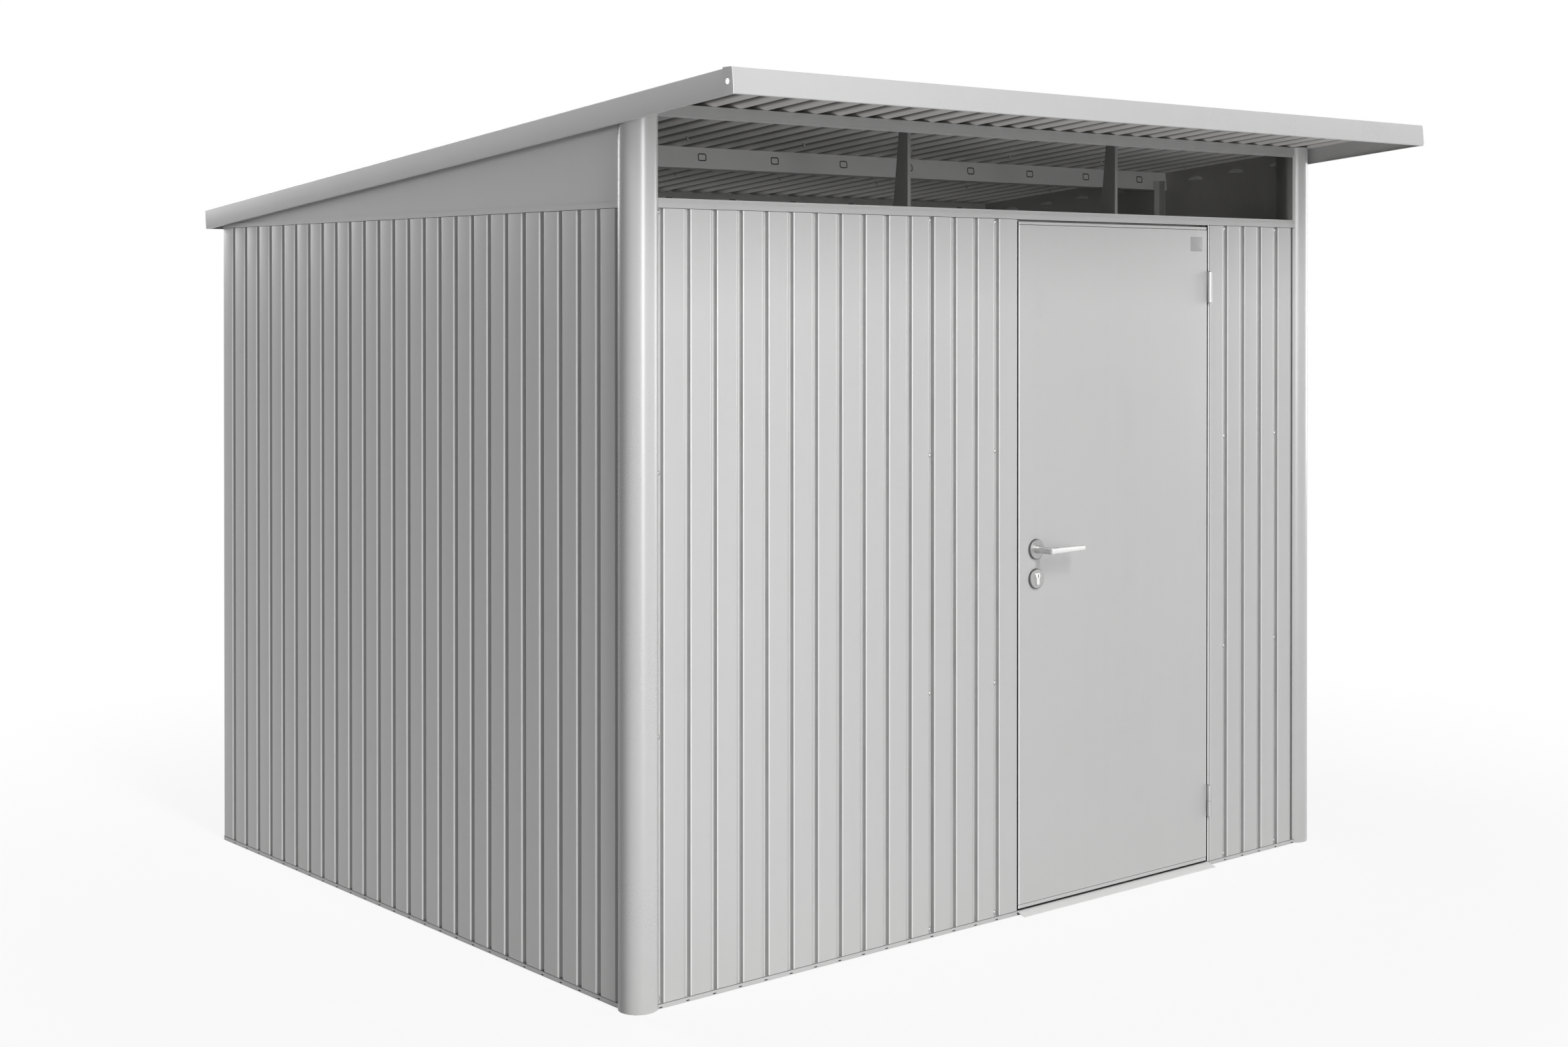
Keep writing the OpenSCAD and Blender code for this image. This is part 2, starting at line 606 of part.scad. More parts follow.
// Disc with a rounded rim, seated on z = 0
module rosette_disc(bore) rotate_extrude() {
    translate([bore, 0]) square([rosette_r - bore, rosette_h - rosette_rim]);
    translate([bore, 0]) square([rosette_r - rosette_rim - bore, rosette_h]);
    translate([rosette_r - rosette_rim, rosette_h - rosette_rim]) circle(r = rosette_rim);
}
module rosette_pair(z, bore) {
    translate([lever_x, 0, z]) rotate([90, 0, 0]) rosette_disc(bore);
    along_y(lever_x, z, case_u) rosette_disc(bore);
}
module rosettes() color(steel) on_front() {
    rosette_pair(lever_z, neck_r + turn_gap);
    difference() {
        rosette_pair(lock_z, 0);
        lock_plug(-rosette_h - 1, plug_l + 2, fit_gap);
    }
}

// Lever handle: an outer and an inner lever on one square spindle
// Each lever is a round bar that tapers away from its rosette and from its mitred corner
straight_l = 2 * corner_r;
module beyond_corner() translate([0, 0, lever_out]) rotate([0, 45, 0])
    translate([-lever_l, -lever_l, 0]) cube(2 * lever_l);
module lever() {
    difference() {
        union() {
            translate([0, 0, fit_gap])
                cylinder(r1 = neck_r, r2 = corner_r, h = lever_out - straight_l - fit_gap);
            translate([0, 0, lever_out - straight_l]) cylinder(r = corner_r, h = straight_l + 2 * corner_r);
        }
        beyond_corner();
    }
    intersection() {
        translate([0, 0, lever_out]) rotate([0, 90, 0]) {
            translate([0, 0, -2 * corner_r]) cylinder(r = corner_r, h = straight_l + 2 * corner_r);
            translate([0, 0, straight_l]) cylinder(r1 = corner_r, r2 = tip_r, h = lever_l - straight_l);
        }
        beyond_corner();
    }
}
module lever_handle() color(steel) on_front() translate([lever_x, 0, lever_z]) {
    rotate([90, 0, 0]) lever();
    translate([0, case_u, 0]) rotate([-90, 0, 0]) lever();
    translate([-spindle / 2, -rosette_h, -spindle / 2]) cube([spindle, case_u + 2 * rosette_h, spindle]);
}

base_rail_left();
base_rail_right();
base_rail_back();
base_rail_front_left();
base_rail_front_right();
front_post_left();
front_post_right();
rear_posts();
front_wall_left();
front_wall_middle();
front_wall_right();
left_wall_rear();
left_wall_front();
right_wall_front();
right_wall_rear();
back_wall_left();
back_wall_right();
top_rail_left();
top_rail_right();
top_rail_back();
header_rail();
window_top_rail();
window_pane();
mullions();
gable_left();
gable_right();
gable_back();
purlins();
side_uprights();
roof_sheets();
fascia_front();
fascia_left();
fascia_right();
fascia_back();
door_sill();
door_jamb_left();
door_jamb_right();
door_head();
hinge_frame_halves();
door_leaf();
door_stiffeners();
hinge_door_halves();
lock_case();
lock_cylinder();
rosettes();
lever_handle();
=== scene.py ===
import json
import math
import bpy
import bmesh
from mathutils import Matrix, Vector

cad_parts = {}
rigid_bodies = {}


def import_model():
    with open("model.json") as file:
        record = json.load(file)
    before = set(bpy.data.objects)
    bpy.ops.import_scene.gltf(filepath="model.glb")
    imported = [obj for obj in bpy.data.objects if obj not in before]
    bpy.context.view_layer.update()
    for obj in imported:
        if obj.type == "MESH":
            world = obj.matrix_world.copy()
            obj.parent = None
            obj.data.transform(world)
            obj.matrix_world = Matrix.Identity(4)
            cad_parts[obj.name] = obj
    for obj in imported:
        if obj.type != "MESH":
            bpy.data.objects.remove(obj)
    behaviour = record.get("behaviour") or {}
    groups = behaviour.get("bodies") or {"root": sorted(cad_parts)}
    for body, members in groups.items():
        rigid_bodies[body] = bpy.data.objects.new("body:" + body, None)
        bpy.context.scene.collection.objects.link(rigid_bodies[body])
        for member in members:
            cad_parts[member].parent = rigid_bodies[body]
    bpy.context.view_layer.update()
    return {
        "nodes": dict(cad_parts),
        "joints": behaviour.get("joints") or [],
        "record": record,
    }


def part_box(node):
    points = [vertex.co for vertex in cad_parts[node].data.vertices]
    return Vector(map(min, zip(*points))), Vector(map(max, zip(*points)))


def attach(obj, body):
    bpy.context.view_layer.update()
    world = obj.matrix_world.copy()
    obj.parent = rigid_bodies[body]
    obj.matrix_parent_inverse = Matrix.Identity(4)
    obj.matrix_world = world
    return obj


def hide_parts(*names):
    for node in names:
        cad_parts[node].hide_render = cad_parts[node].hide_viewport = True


for leftover in list(bpy.data.objects):  # the start-up cube, lamp and camera
    bpy.data.objects.remove(leftover)
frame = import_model()
nodes = frame["nodes"]
print("frame loaded:", len(nodes), "nodes")


# Shader maths as Python expressions

class Wire:
    def __init__(self, finish, socket):
        self.finish = finish
        self.socket = socket

    def math(self, operation, *values):
        return self.finish.wire("ShaderNodeMath", 0, {"operation": operation}, dict(enumerate(values)))

    def __add__(self, other):
        return self.math("ADD", self, other)

    def __radd__(self, other):
        return self.math("ADD", other, self)

    def __sub__(self, other):
        return self.math("SUBTRACT", self, other)

    def __rsub__(self, other):
        return self.math("SUBTRACT", other, self)

    def __mul__(self, other):
        return self.math("MULTIPLY", self, other)

    def __rmul__(self, other):
        return self.math("MULTIPLY", other, self)

    def __mod__(self, other):
        return self.math("FLOORED_MODULO", self, other)

    def __rmod__(self, other):
        return self.math("FLOORED_MODULO", other, self)

    def __lt__(self, other):
        return self.math("LESS_THAN", self, other)

    def __gt__(self, other):
        return self.math("GREATER_THAN", self, other)

    def __abs__(self):
        return self.math("ABSOLUTE", self)

    def between(self, low, high):  # 0 at low, 1 at high, clamped and smooth
        return self.finish.wire("ShaderNodeMapRange", "Result", {"interpolation_type": "SMOOTHSTEP"},
                                {"Value": self, "From Min": low, "From Max": high})


class Finish:
    def __init__(self, holder):  # a new material, or the world
        holder.use_nodes = True
        self.holder = holder
        self.tree = holder.node_tree
        self.tree.nodes.clear()
        self.place = self.wire("ShaderNodeTexCoord", "Object")

    def add(self, kind, settings=None, sockets=None):  # any node: its settings first, then its sockets
        node = self.tree.nodes.new(kind)
        for name, value in (settings or {}).items():
            setattr(node, name, value)
        for name, value in (sockets or {}).items():
            if isinstance(value, Wire):
                self.tree.links.new(value.socket, node.inputs[name])
            else:
                node.inputs[name].default_value = value
        return node

    def wire(self, kind, output, settings=None, sockets=None):
        return Wire(self, self.add(kind, settings, sockets).outputs[output])

    def vector(self, operation, *values):
        return self.wire("ShaderNodeVectorMath", "Vector", {"operation": operation}, dict(enumerate(values)))

    def length(self, vector):
        return self.wire("ShaderNodeVectorMath", "Value", {"operation": "LENGTH"}, {0: vector})

    def stretched(self, scale):  # object coordinates with a scale for each axis
        return self.wire("ShaderNodeMapping", "Vector", None, {"Vector": self.place, "Scale": scale})

    def noise(self, scale, detail, vector=None):
        return self.wire("ShaderNodeTexNoise", "Fac", None, {
            "Vector": vector or self.place, "Scale": scale, "Detail": detail, "Roughness": 0.5})

    def axis(self, name):
        return self.wire("ShaderNodeSeparateXYZ", name, None, {"Vector": self.place})

    def mixed(self, factor, first, second):  # 6, 7 and 2 are a Mix node's colour sockets
        return self.wire("ShaderNodeMix", 2, {"data_type": "RGBA"}, {0: factor, 6: first, 7: second})

    def seenBy(self, *kinds):  # 1 for rays of these kinds
        rays = self.add("ShaderNodeLightPath")
        seen, *more = [Wire(self, rays.outputs[f"Is {kind} Ray"]) for kind in kinds]
        for other in more:
            seen = seen.math("MAXIMUM", seen, other)
        return seen

    def bump(self, height, strength, distance):
        return self.wire("ShaderNodeBump", "Normal", None, {
            "Height": height, "Strength": strength, "Distance": distance})

    def surface(self, shader, output="ShaderNodeOutputMaterial"):
        self.add(output, None, {"Surface": shader})

    def principled(self, sockets):
        self.surface(self.wire("ShaderNodeBsdfPrincipled", "BSDF", None, sockets))
        return self.holder


def newFinish(name):
    return Finish(bpy.data.materials.new(name))


def grey(level, warmth=0.0):  # a linear grey, a little warm or cool
    return (level * (1 + warmth), level, level * (1 - warmth), 1.0)


# Measures that finishes and pieces share

walls = {"faceY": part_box("door_leaf")[0].y, "backY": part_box("left_wall_rear")[1].y,
         "halfWidth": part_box("right_wall_rear")[1].x, "top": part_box("front_wall_left")[1].z}
plankLook = {"pitch": 0.080, "depth": 0.009, "flank": 0.018, "steep": 0.003, "bend": 0.0026, "sheet": 0.0008,
             "frontGroove": 0.0804, "sideGroove": 0.0609, "cornerFold": 0.030}
frontDatum = plankLook["frontGroove"] - walls["halfWidth"]
leftDatum = -(walls["faceY"] + plankLook["sideGroove"])
rightDatum = walls["faceY"] + plankLook["sideGroove"]
waveLook = {"pitch": 0.080, "depth": 0.011, "seat": 0.0133, "sheet": 0.0008, "step": 0.005, "joint": 0.0003}


def jointPlace(name):
    return next(joint["pos_m"] for joint in frame["joints"] if joint["name"] == name)


# Paint on the sheets

# painted shade in the grooves and painted highlight lines on their bends
foldLook = {"paintedHighlight": 0.60, "highlightTone": 0.95, "polish": 0.10, "shadeTone": 0.2, "uneven": 9.0,
            "spread": 0.0024, "flankSpread": 0.0020, "edge": (0.0022, 0.0012),
            "shadeTo": (0.0040, 0.0026), "bendFrom": (0.0030, 0.0042), "bendTo": (0.0066, 0.0054),
            "front": {"paintedShade": 0.62, "shadeFrom": -0.0032,
                      "flankHighlight": 0.75, "flankFrom": -0.0086, "flankTo": -0.0028},
            "side": {"paintedShade": 0.62, "shadeFrom": -0.0150,
                     "flankHighlight": 0.90, "flankFrom": -0.0200, "flankTo": -0.0132}}


def foldShadeAndHighlights(f, axis, way, datum, wall):  # painted shade in the grooves, painted highlight lines on the bends beside them
    half, look, w = plankLook["pitch"] / 2, foldLook, foldLook[wall]
    m = (f.axis(axis) * way - (datum - half)) % plankLook["pitch"] - half  # metres past each groove
    uneven = f.noise(look["uneven"], 3.0) * 0.5 + 0.75
    paintedShade = m.between(w["shadeFrom"], w["shadeFrom"] + look["spread"]) * m.between(*look["shadeTo"]) * uneven
    bend = m.between(*look["bendFrom"]) * m.between(*look["bendTo"]) * uneven
    flank = (m.between(w["flankFrom"], w["flankFrom"] + look["flankSpread"])
             * m.between(w["flankTo"], w["flankTo"] - look["spread"]) * uneven)
    return paintedShade * w["paintedShade"], bend * look["paintedHighlight"] + flank * w["flankHighlight"]


# painted shade: darker tones on the inner faces of the gables and posts
indoorShade = {"gableTone": 0.32, "gableSide": 1.2738, "postTone": 0.05, "postSide": 1.2245, "postDepth": 0.004}


def insideGable(f):
    return abs(f.axis("X")) < indoorShade["gableSide"]


def insidePost(f):
    behind = f.axis("Y") > walls["faceY"] + indoorShade["postDepth"]
    return (abs(f.axis("X")) < indoorShade["postSide"]) * behind


paintLook = {"tone": 0.51, "roughness": 0.30, "gloss": 0.85, "contrast": 0.28, "roughSpread": 0.10,
             "speckle": 0.07, "speckleScale": 620.0, "mottle": 0.05, "mottleScale": 3.2,
             "streak": 0.05, "streakScale": (46.0, 46.0, 0.7), "peelScale": 260.0, "peelDepth": 0.0006,
             "dust": 0.10, "dustScale": 7.0, "dustEdge": 0.10, "dustFrom": 0.30, "dustTo": 0.02,
             "dustTone": 0.78, "dustRough": 0.08, "depthShadeTone": 0.15}


def sheetPaint(name, tone, warmth=0.0, roughness=paintLook["roughness"], inner=None, folds=None, highlightBends=(),
               shaded=None):
    f, p = newFinish(name), paintLook
    speckle = f.noise(p["speckleScale"], 2.0)                  # metal flakes in the powder coat
    peel = f.noise(p["peelScale"], 1.0)                        # orange peel
    mottle = f.noise(p["mottleScale"], 3.0)                    # uneven coat from sheet to sheet
    streak = f.noise(1.0, 2.0, f.stretched(p["streakScale"]))  # rolling lines along the planks
    height = f.axis("Z") + f.noise(p["dustScale"], 4.0) * p["dustEdge"]
    dust = height.between(p["dustFrom"], p["dustTo"])          # splashed earth near the ground
    shade = (speckle - 0.5) * p["speckle"] + (streak - 0.5) * p["streak"] + (mottle - 0.5) * p["mottle"]
    dark, light = tone * (1 - p["contrast"]), tone * (1 + p["contrast"])
    colour = f.mixed(shade + 0.5, grey(dark, warmth), grey(light, warmth))
    colour = f.mixed(dust * p["dust"], colour, grey(tone * p["dustTone"], 0.05))
    polish = 0.0
    if folds:
        # painted shade and painted highlights along the grooves
        paintedShade, paintedHighlight = foldShadeAndHighlights(f, *folds)
        colour = f.mixed(paintedHighlight, colour, grey(foldLook["highlightTone"]))
        colour = f.mixed(paintedShade, colour, grey(tone * foldLook["shadeTone"], 0.02))
        polish = paintedHighlight * foldLook["polish"]
    if shaded:  # painted shade by depth behind the front
        depthShadeFrom, depthShadeTo, amount = shaded
        behind = f.axis("Y") - walls["faceY"]
        colour = f.mixed(behind.between(depthShadeFrom, depthShadeTo) * amount, colour, grey(tone * p["depthShadeTone"]))
    for bendX in highlightBends:  # upright bends with a painted highlight
        bendHighlight = abs(f.axis("X") - bendX).between(*foldLook["edge"])
        colour = f.mixed(bendHighlight * foldLook["paintedHighlight"], colour, grey(foldLook["highlightTone"]))
    if inner:  # painted shade: a plain darker coat inside the building
        inside, indoorShadeTone = inner
        colour = f.mixed(inside(f), colour, grey(indoorShadeTone, 0.03))
    uneven = (speckle - 0.5) * p["roughSpread"] + (mottle - 0.5) * p["roughSpread"]
    return f.principled({
        "Base Color": colour,
        "Specular IOR Level": p["gloss"],
        "Roughness": roughness + uneven + dust * p["dustRough"] - polish,
        "Normal": f.bump(peel * 0.7 + speckle * 0.3, 0.10, p["peelDepth"]),
    })


# Metal of the lock, hinges and screws

lockX, _, leverZ = jointPlace("lever_turn")
# painted shade on the rosette rims and the lever's neck
lockLook = {"apart": 0.080, "rimFrom": 0.0242, "rimTo": 0.0262, "rimShadeTone": 0.17,
            "neckMiddle": -0.8945, "neckHalf": 0.0795, "neckSoft": 0.004, "neckShadeTone": 0.58}


def rosetteRimShade(f):  # painted shade on the rims of the lever's rosettes and the lock's below them, on both faces
    rims = []
    for height in (leverZ, leverZ - lockLook["apart"]):
        flat = f.vector("MULTIPLY", f.vector("SUBTRACT", f.place, (lockX, 0.0, height)), (1.0, 0.0, 1.0))
        rims.append(f.length(flat).between(lockLook["rimFrom"], lockLook["rimTo"]))
    return rims[0] * rims[1]


# painted shade on the lever's neck
def leverNeckShade(f):
    half = lockLook["neckHalf"]
    return abs(f.axis("Y") - lockLook["neckMiddle"]).between(half, half - lockLook["neckSoft"])


metalLook = {"brushed": (60.0, 60.0, 1500.0), "smearScale": 38.0, "dark": 0.88, "light": 1.08, "smear": 0.12,
             "warmth": 0.004, "lineDepth": 0.0003}


def satinMetal(name, tone, roughness, brush, shadedPart=None):
    f, k = newFinish(name), metalLook
    lines = f.noise(1.0, 3.0, f.stretched(k["brushed"]))
    smear = f.noise(k["smearScale"], 3.0)  # handling marks
    dark, light = grey(tone * k["dark"], k["warmth"]), grey(tone * k["light"], k["warmth"])
    colour = f.mixed(lines * 0.5 + smear * 0.5, dark, light)
    if shadedPart:  # painted shade: a part kept darker than the rest
        mask, shadedPartTone = shadedPart
        colour = f.mixed(mask(f), colour, grey(shadedPartTone))
    return f.principled({
        "Base Color": colour,
        "Metallic": 1.0,
        "Roughness": roughness + (smear - 0.5) * k["smear"] + (lines - 0.5) * brush,
        "Normal": f.bump(lines, brush, k["lineDepth"]),
    })


# Matt black for painted shade, the roof's underside and the window sheet

mattShadeLook = {"grainScale": 240.0, "contrast": 0.4, "roughness": 0.75, "roughSpread": 0.2, "gloss": 0.12,
              "grainDepth": 0.0003}


def mattBlack(name, tone):  # matt black for painted shade in gaps and seams, and the dark inside of slots
    f, k = newFinish(name), mattShadeLook
    grain = f.noise(k["grainScale"], 2.0)
    return f.principled({
        "Base Color": f.mixed(grain, grey(tone * (1 - k["contrast"])), grey(tone * (1 + k["contrast"]))),
        "Roughness": k["roughness"] + (grain - 0.5) * k["roughSpread"],
        "Specular IOR Level": k["gloss"],
        "Normal": f.bump(grain, 0.1, k["grainDepth"]),
    })


underLook = {"light": 0.60, "dark": 0.11, "from": 0.30, "to": 0.86, "innerLight": 0.94, "innerDark": 0.20,
             "indoorFade": 0.04, "grain": 0.08, "grainScale": 300.0, "grainDepth": 0.0005,
             "patch": 0.12, "patchScale": 4.0, "roughness": 0.62, "gloss": 0.15}


def underCoat(name):  # the roof from below: painted shade high in the waves, and a paler indoor copy as painted light
    f, u = newFinish(name), underLook
    turn = f.axis("X") * (2 * math.pi / waveLook["pitch"])
    high = 0.5 - turn.math("COSINE", turn) * 0.5
    grain = f.noise(u["grainScale"], 2.0)
    patch = (f.noise(u["patchScale"], 3.0) - 0.5) * u["patch"]
    # painted shade: darker high in the waves
    dusty = (high + patch).between(u["from"], u["to"])
    dark, light = u["light"] * (1 - u["grain"]), u["light"] * (1 + u["grain"])
    clean = f.mixed(grain, grey(dark, 0.03), grey(light, 0.03))
    overhang = f.mixed(dusty, clean, grey(u["dark"], 0.06))
    indoorLitCopy = f.mixed(dusty, grey(u["innerLight"], 0.02), grey(u["innerDark"], 0.04))
    indoors = f.axis("Y").between(walls["faceY"], walls["faceY"] + u["indoorFade"])
    return f.principled({
        "Base Color": f.mixed(indoors, overhang, indoorLitCopy),
        "Roughness": u["roughness"] + patch,
        "Specular IOR Level": u["gloss"],
        "Normal": f.bump(grain, 0.08, u["grainDepth"]),
    })


paneLook = {"clear": (0.80, 0.83, 0.82, 1.0), "dusty": (0.90, 0.92, 0.91, 1.0), "hazeScale": 4.0,
            "wiped": (9.0, 9.0, 60.0), "roughness": 0.06, "dustRough": 0.08,
            "alpha": 0.004, "dustAlpha": 0.012, "index": 1.49, "gloss": 0.15}


def clearSheet(name):
    f, k = newFinish(name), paneLook
    haze = f.noise(k["hazeScale"], 4.0)
    wipe = f.noise(1.0, 2.0, f.stretched(k["wiped"]))
    film = haze * 0.6 + wipe * 0.4  # dust and wiping marks
    return f.principled({
        "Base Color": f.mixed(film, k["clear"], k["dusty"]),
        "Roughness": k["roughness"] + film * k["dustRough"],
        "Alpha": k["alpha"] + film * k["dustAlpha"],
        "IOR": k["index"],
        "Specular IOR Level": k["gloss"],
    })


# The finishes of this shed

wallTone = paintLook["tone"]
bendAt = 0.0014                      # the middle of a bend, from the sheet's edge
grooveShade = (0.0805, 0.0785, 0.85)  # from, to, amount of painted shade: the groove beside each round post
postSideShade = (0.003, 0.041, 0.58)      # painted shade on the side of each round post
doorBends = (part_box("door_leaf")[0].x + bendAt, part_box("door_leaf")[1].x - bendAt)
wallBend = (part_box("front_wall_right")[0].x + bendAt,)

silver = sheetPaint("silverPaint", wallTone)
innerGrey = sheetPaint("innerGreyPaint", 0.42, 0.01)
doorPaint = sheetPaint("doorPaint", wallTone, highlightBends=doorBends)
plankPaint = {
    "front": sheetPaint("frontPlankPaint", wallTone, folds=("X", 1, frontDatum, "front"), highlightBends=wallBend),
    "back": sheetPaint("backPlankPaint", wallTone, folds=("X", -1, frontDatum, "front")),
    "left": sheetPaint("leftPlankPaint", wallTone, folds=("Y", -1, leftDatum, "side"), shaded=grooveShade),
    "right": sheetPaint("rightPlankPaint", wallTone, folds=("Y", 1, rightDatum, "side"), shaded=grooveShade)}
postPaint = sheetPaint("postPaint", wallTone, roughness=0.29, inner=(insidePost, indoorShade["postTone"]),
                       shaded=postSideShade)
gableGrey = sheetPaint("gablePaint", wallTone, inner=(insideGable, indoorShade["gableTone"]))
# painted light: a lighter sill for its lit upper face
sillLitPaint = sheetPaint("litSillPaint", 0.82)
# painted shade: the header and the window top rail darker under the overhang
headerShadedPaint = sheetPaint("headerShadedPaint", 0.46)
topRailShadedPaint = sheetPaint("topRailShadedPaint", 0.36)
# painted light: a lighter grey for the purlins and the gable louvres
purlinLitGrey = sheetPaint("purlinLitGrey", 0.62, 0.01)
# painted shade: near-black mullions
mullionShadeGrey = sheetPaint("mullionShadeGrey", 0.11, 0.02, 0.5)
roofUnder = underCoat("roofUnderCoat")
roofGrey = sheetPaint("roofGreyPaint", 0.36, 0.03, 0.48)
pane = clearSheet("clearWindowSheet")
hingeSteel = satinMetal("hingeSteel", 0.52, 0.36, 0.10)
lockSteel = satinMetal("satinLockSteel", 0.46, 0.42, 0.10, (rosetteRimShade, lockLook["rimShadeTone"]))
leverSteel = satinMetal("leverSteel", 0.90, 0.28, 0.06, (leverNeckShade, lockLook["neckShadeTone"]))
plugNickel = satinMetal("polishedPlugNickel", 0.96, 0.14, 0.04)
screwZinc = satinMetal("screwZinc", 0.26, 0.45, 0.06)
plateGrey = sheetPaint("plateGreyPaint", 0.37, 0.0, 0.5)
# black for painted shade in gaps, seams, slots, cut lines and the keyholes
gapShadeBlack = mattBlack("gapShadeBlack", 0.015)
print("finishes made")

finishOf = {"silver_paint": silver, "grey_paint": innerGrey, "roof_paint": roofGrey, "clear_pane": pane,
            "hinge_metal": hingeSteel, "lock_metal": lockSteel}
ownFinish = {"lock_cylinder": plugNickel, "lever_handle": leverSteel, "gable_left": gableGrey,
             "gable_right": gableGrey, "front_post_left": postPaint, "front_post_right": postPaint,
             "door_sill": sillLitPaint, "header_rail": headerShadedPaint, "window_top_rail": topRailShadedPaint,
             "mullions": mullionShadeGrey, "purlins": purlinLitGrey}
for entry in frame["record"]["subparts"]:
    mesh = nodes[entry["node"]].data
    mesh.materials.clear()
    mesh.materials.append(ownFinish.get(entry["node"], finishOf[entry["material_slot"]]))
print("finishes given to the frame")


# Sheet pieces with rounded bends

roof = {"front": -1.298564, "top": 2.171, "fall": 5.18, "width": 2.6012, "length": 2.61317, "sheets": 3}
slope = math.radians(roof["fall"])
onRoof = Matrix.Translation((0, roof["front"], roof["top"])) @ Matrix.Rotation(-slope, 4, "X")
# depth, height, length to x, y, z
alongWall = Matrix(((0, 0, 1, 0), (1, 0, 0, 0), (0, 1, 0, 0), (0, 0, 0, 1)))


def wallFrame(side):  # x to the right as seen from outside, y inwards, z up
    turn, x, y = {"front": (0, 0, walls["faceY"]), "back": (180, 0, walls["backY"]),
                  "left": (-90, -walls["halfWidth"], 0), "right": (90, walls["halfWidth"], 0)}[side]
    return Matrix.Translation((x, y, 0)) @ Matrix.Rotation(math.radians(turn), 4, "Z")


def wallSpan(node, side):  # where a node starts and ends along its wall
    low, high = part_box(node)
    return {"front": (low.x, high.x), "back": (-high.x, -low.x),
            "left": (-high.y, -low.y), "right": (low.y, high.y)}[side]


def newPiece(name, bm, finish, body, replaced=(), other=None, sharp=40.0):
    # other is a second finish and the test that picks its faces
    bm.normal_update()
    for face in bm.faces:
        face.smooth = True
        face.material_index = 1 if other and other[1](face) else 0
    mesh = bpy.data.meshes.new(name)
    bm.to_mesh(mesh)
    bm.free()
    mesh.set_sharp_from_angle(angle=math.radians(sharp))
    mesh.materials.append(finish)
    if other:
        mesh.materials.append(other[0])
    piece = bpy.data.objects.new(name, mesh)
    bpy.context.scene.collection.objects.link(piece)
    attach(piece, body)
    if replaced:
        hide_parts(*replaced)


def joinInto(whole, part, matrix=Matrix.Identity(4)):  # adds a moved copy of one bmesh to another
    mesh = bpy.data.meshes.new("carried")
    part.to_mesh(mesh)
    mesh.transform(matrix)
    whole.from_mesh(mesh)
    bpy.data.meshes.remove(mesh)


def rounded(bm, geom, offset, segments=4, affect="EDGES", **options):
    bmesh.ops.bevel(bm, geom=geom, offset=offset, affect=affect, segments=segments, profile=0.5, material=-1,
                    **options)


def cutOff(bm, place, direction):  # takes away what lies beyond a plane
    everything = bm.verts[:] + bm.edges[:] + bm.faces[:]
    bmesh.ops.bisect_plane(bm, geom=everything, plane_co=place, plane_no=direction, clear_outer=True)


def bentSheet(path, low, high, thickness, bend, cuts=()):
    # folds in the xy plane, drawn out along z, with rounded bends; the wall grows to the left of the path
    bm = bmesh.new()
    corners = [bm.verts.new((x, y, low)) for x, y in path]
    folds = [bm.edges.new(pair) for pair in zip(corners, corners[1:])]
    drawn = bmesh.ops.extrude_edge_only(bm, edges=folds)["geom"]
    top = [v for v in drawn if isinstance(v, bmesh.types.BMVert)]
    bmesh.ops.translate(bm, vec=(0, 0, high - low), verts=top)
    bm.normal_update()
    first = Vector(path[1]) - Vector(path[0])
    if corners[0].link_faces[0].normal.dot(Vector((-first.y, first.x, 0))) > 0:
        bmesh.ops.reverse_faces(bm, faces=bm.faces[:])
    if bend:
        inner = [e for e in bm.edges if len(e.link_faces) == 2]
        rounded(bm, inner, bend, offset_type="OFFSET", clamp_overlap=True)
    for place, direction in cuts:  # mitred ends
        cutOff(bm, place, direction)
    bmesh.ops.solidify(bm, geom=bm.faces[:], thickness=thickness)
    return bm


# Plank walls

def plankDepth(s, datum):
    p = plankLook
    m = (s - datum + p["pitch"] / 2) % p["pitch"] - p["pitch"] / 2
    if -p["flank"] < m <= 0:
        return p["depth"] * (m + p["flank"]) / p["flank"]
    if 0 < m < p["steep"]:
        return p["depth"] * (p["steep"] - m) / p["steep"]
    return 0.0


def plankPath(start, end, datum):
    p = plankLook
    path = [(start, plankDepth(start, datum))]
    near = 0.0006  # a bend this close to an end is left out
    for k in range(math.floor((start - datum) / p["pitch"]), math.ceil((end - datum) / p["pitch"]) + 1):
        for offset, depth in ((-p["flank"], 0.0), (0.0, p["depth"]), (p["steep"], 0.0)):
            s = datum + k * p["pitch"] + offset
            if start + near < s < end - near:
                path.append((s, depth))
    return path + [(end, plankDepth(end, datum))]


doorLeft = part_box("front_wall_middle")[1].x
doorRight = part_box("front_wall_right")[0].x
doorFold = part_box("front_wall_middle")[1].y - walls["faceY"]
foldReach = 0.0015  # a face this close to the opening belongs to its fold


def besideDoor(face):  # painted shade: the folded edges of the door opening, black behind their bends
    middle = face.calc_center_median()
    atEdge = min(abs(middle.x - doorLeft), abs(middle.x - doorRight)) < foldReach
    return atEdge and middle.y - walls["faceY"] > plankLook["bend"]


def wallSheet(name, node, side, datum, before=(), after=(), start=None, end=None):
    low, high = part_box(node)
    a, b = wallSpan(node, side)
    planks = plankPath(a if start is None else start, b if end is None else end, datum)
    path = list(before) + planks + list(after)
    bm = bentSheet(path, low.z, high.z, plankLook["sheet"], plankLook["bend"])
    bmesh.ops.transform(bm, matrix=wallFrame(side), verts=bm.verts)
    newPiece(name, bm, plankPaint[side], "shed", [node],
             other=(gapShadeBlack, besideDoor) if side == "front" else None)


def plankMiddle(x, rounding):  # the middle of the last flat before x, or of the first one after it
    return frontDatum + plankLook["pitch"] * (rounding((x - frontDatum) / plankLook["pitch"] - 0.5) + 0.5)


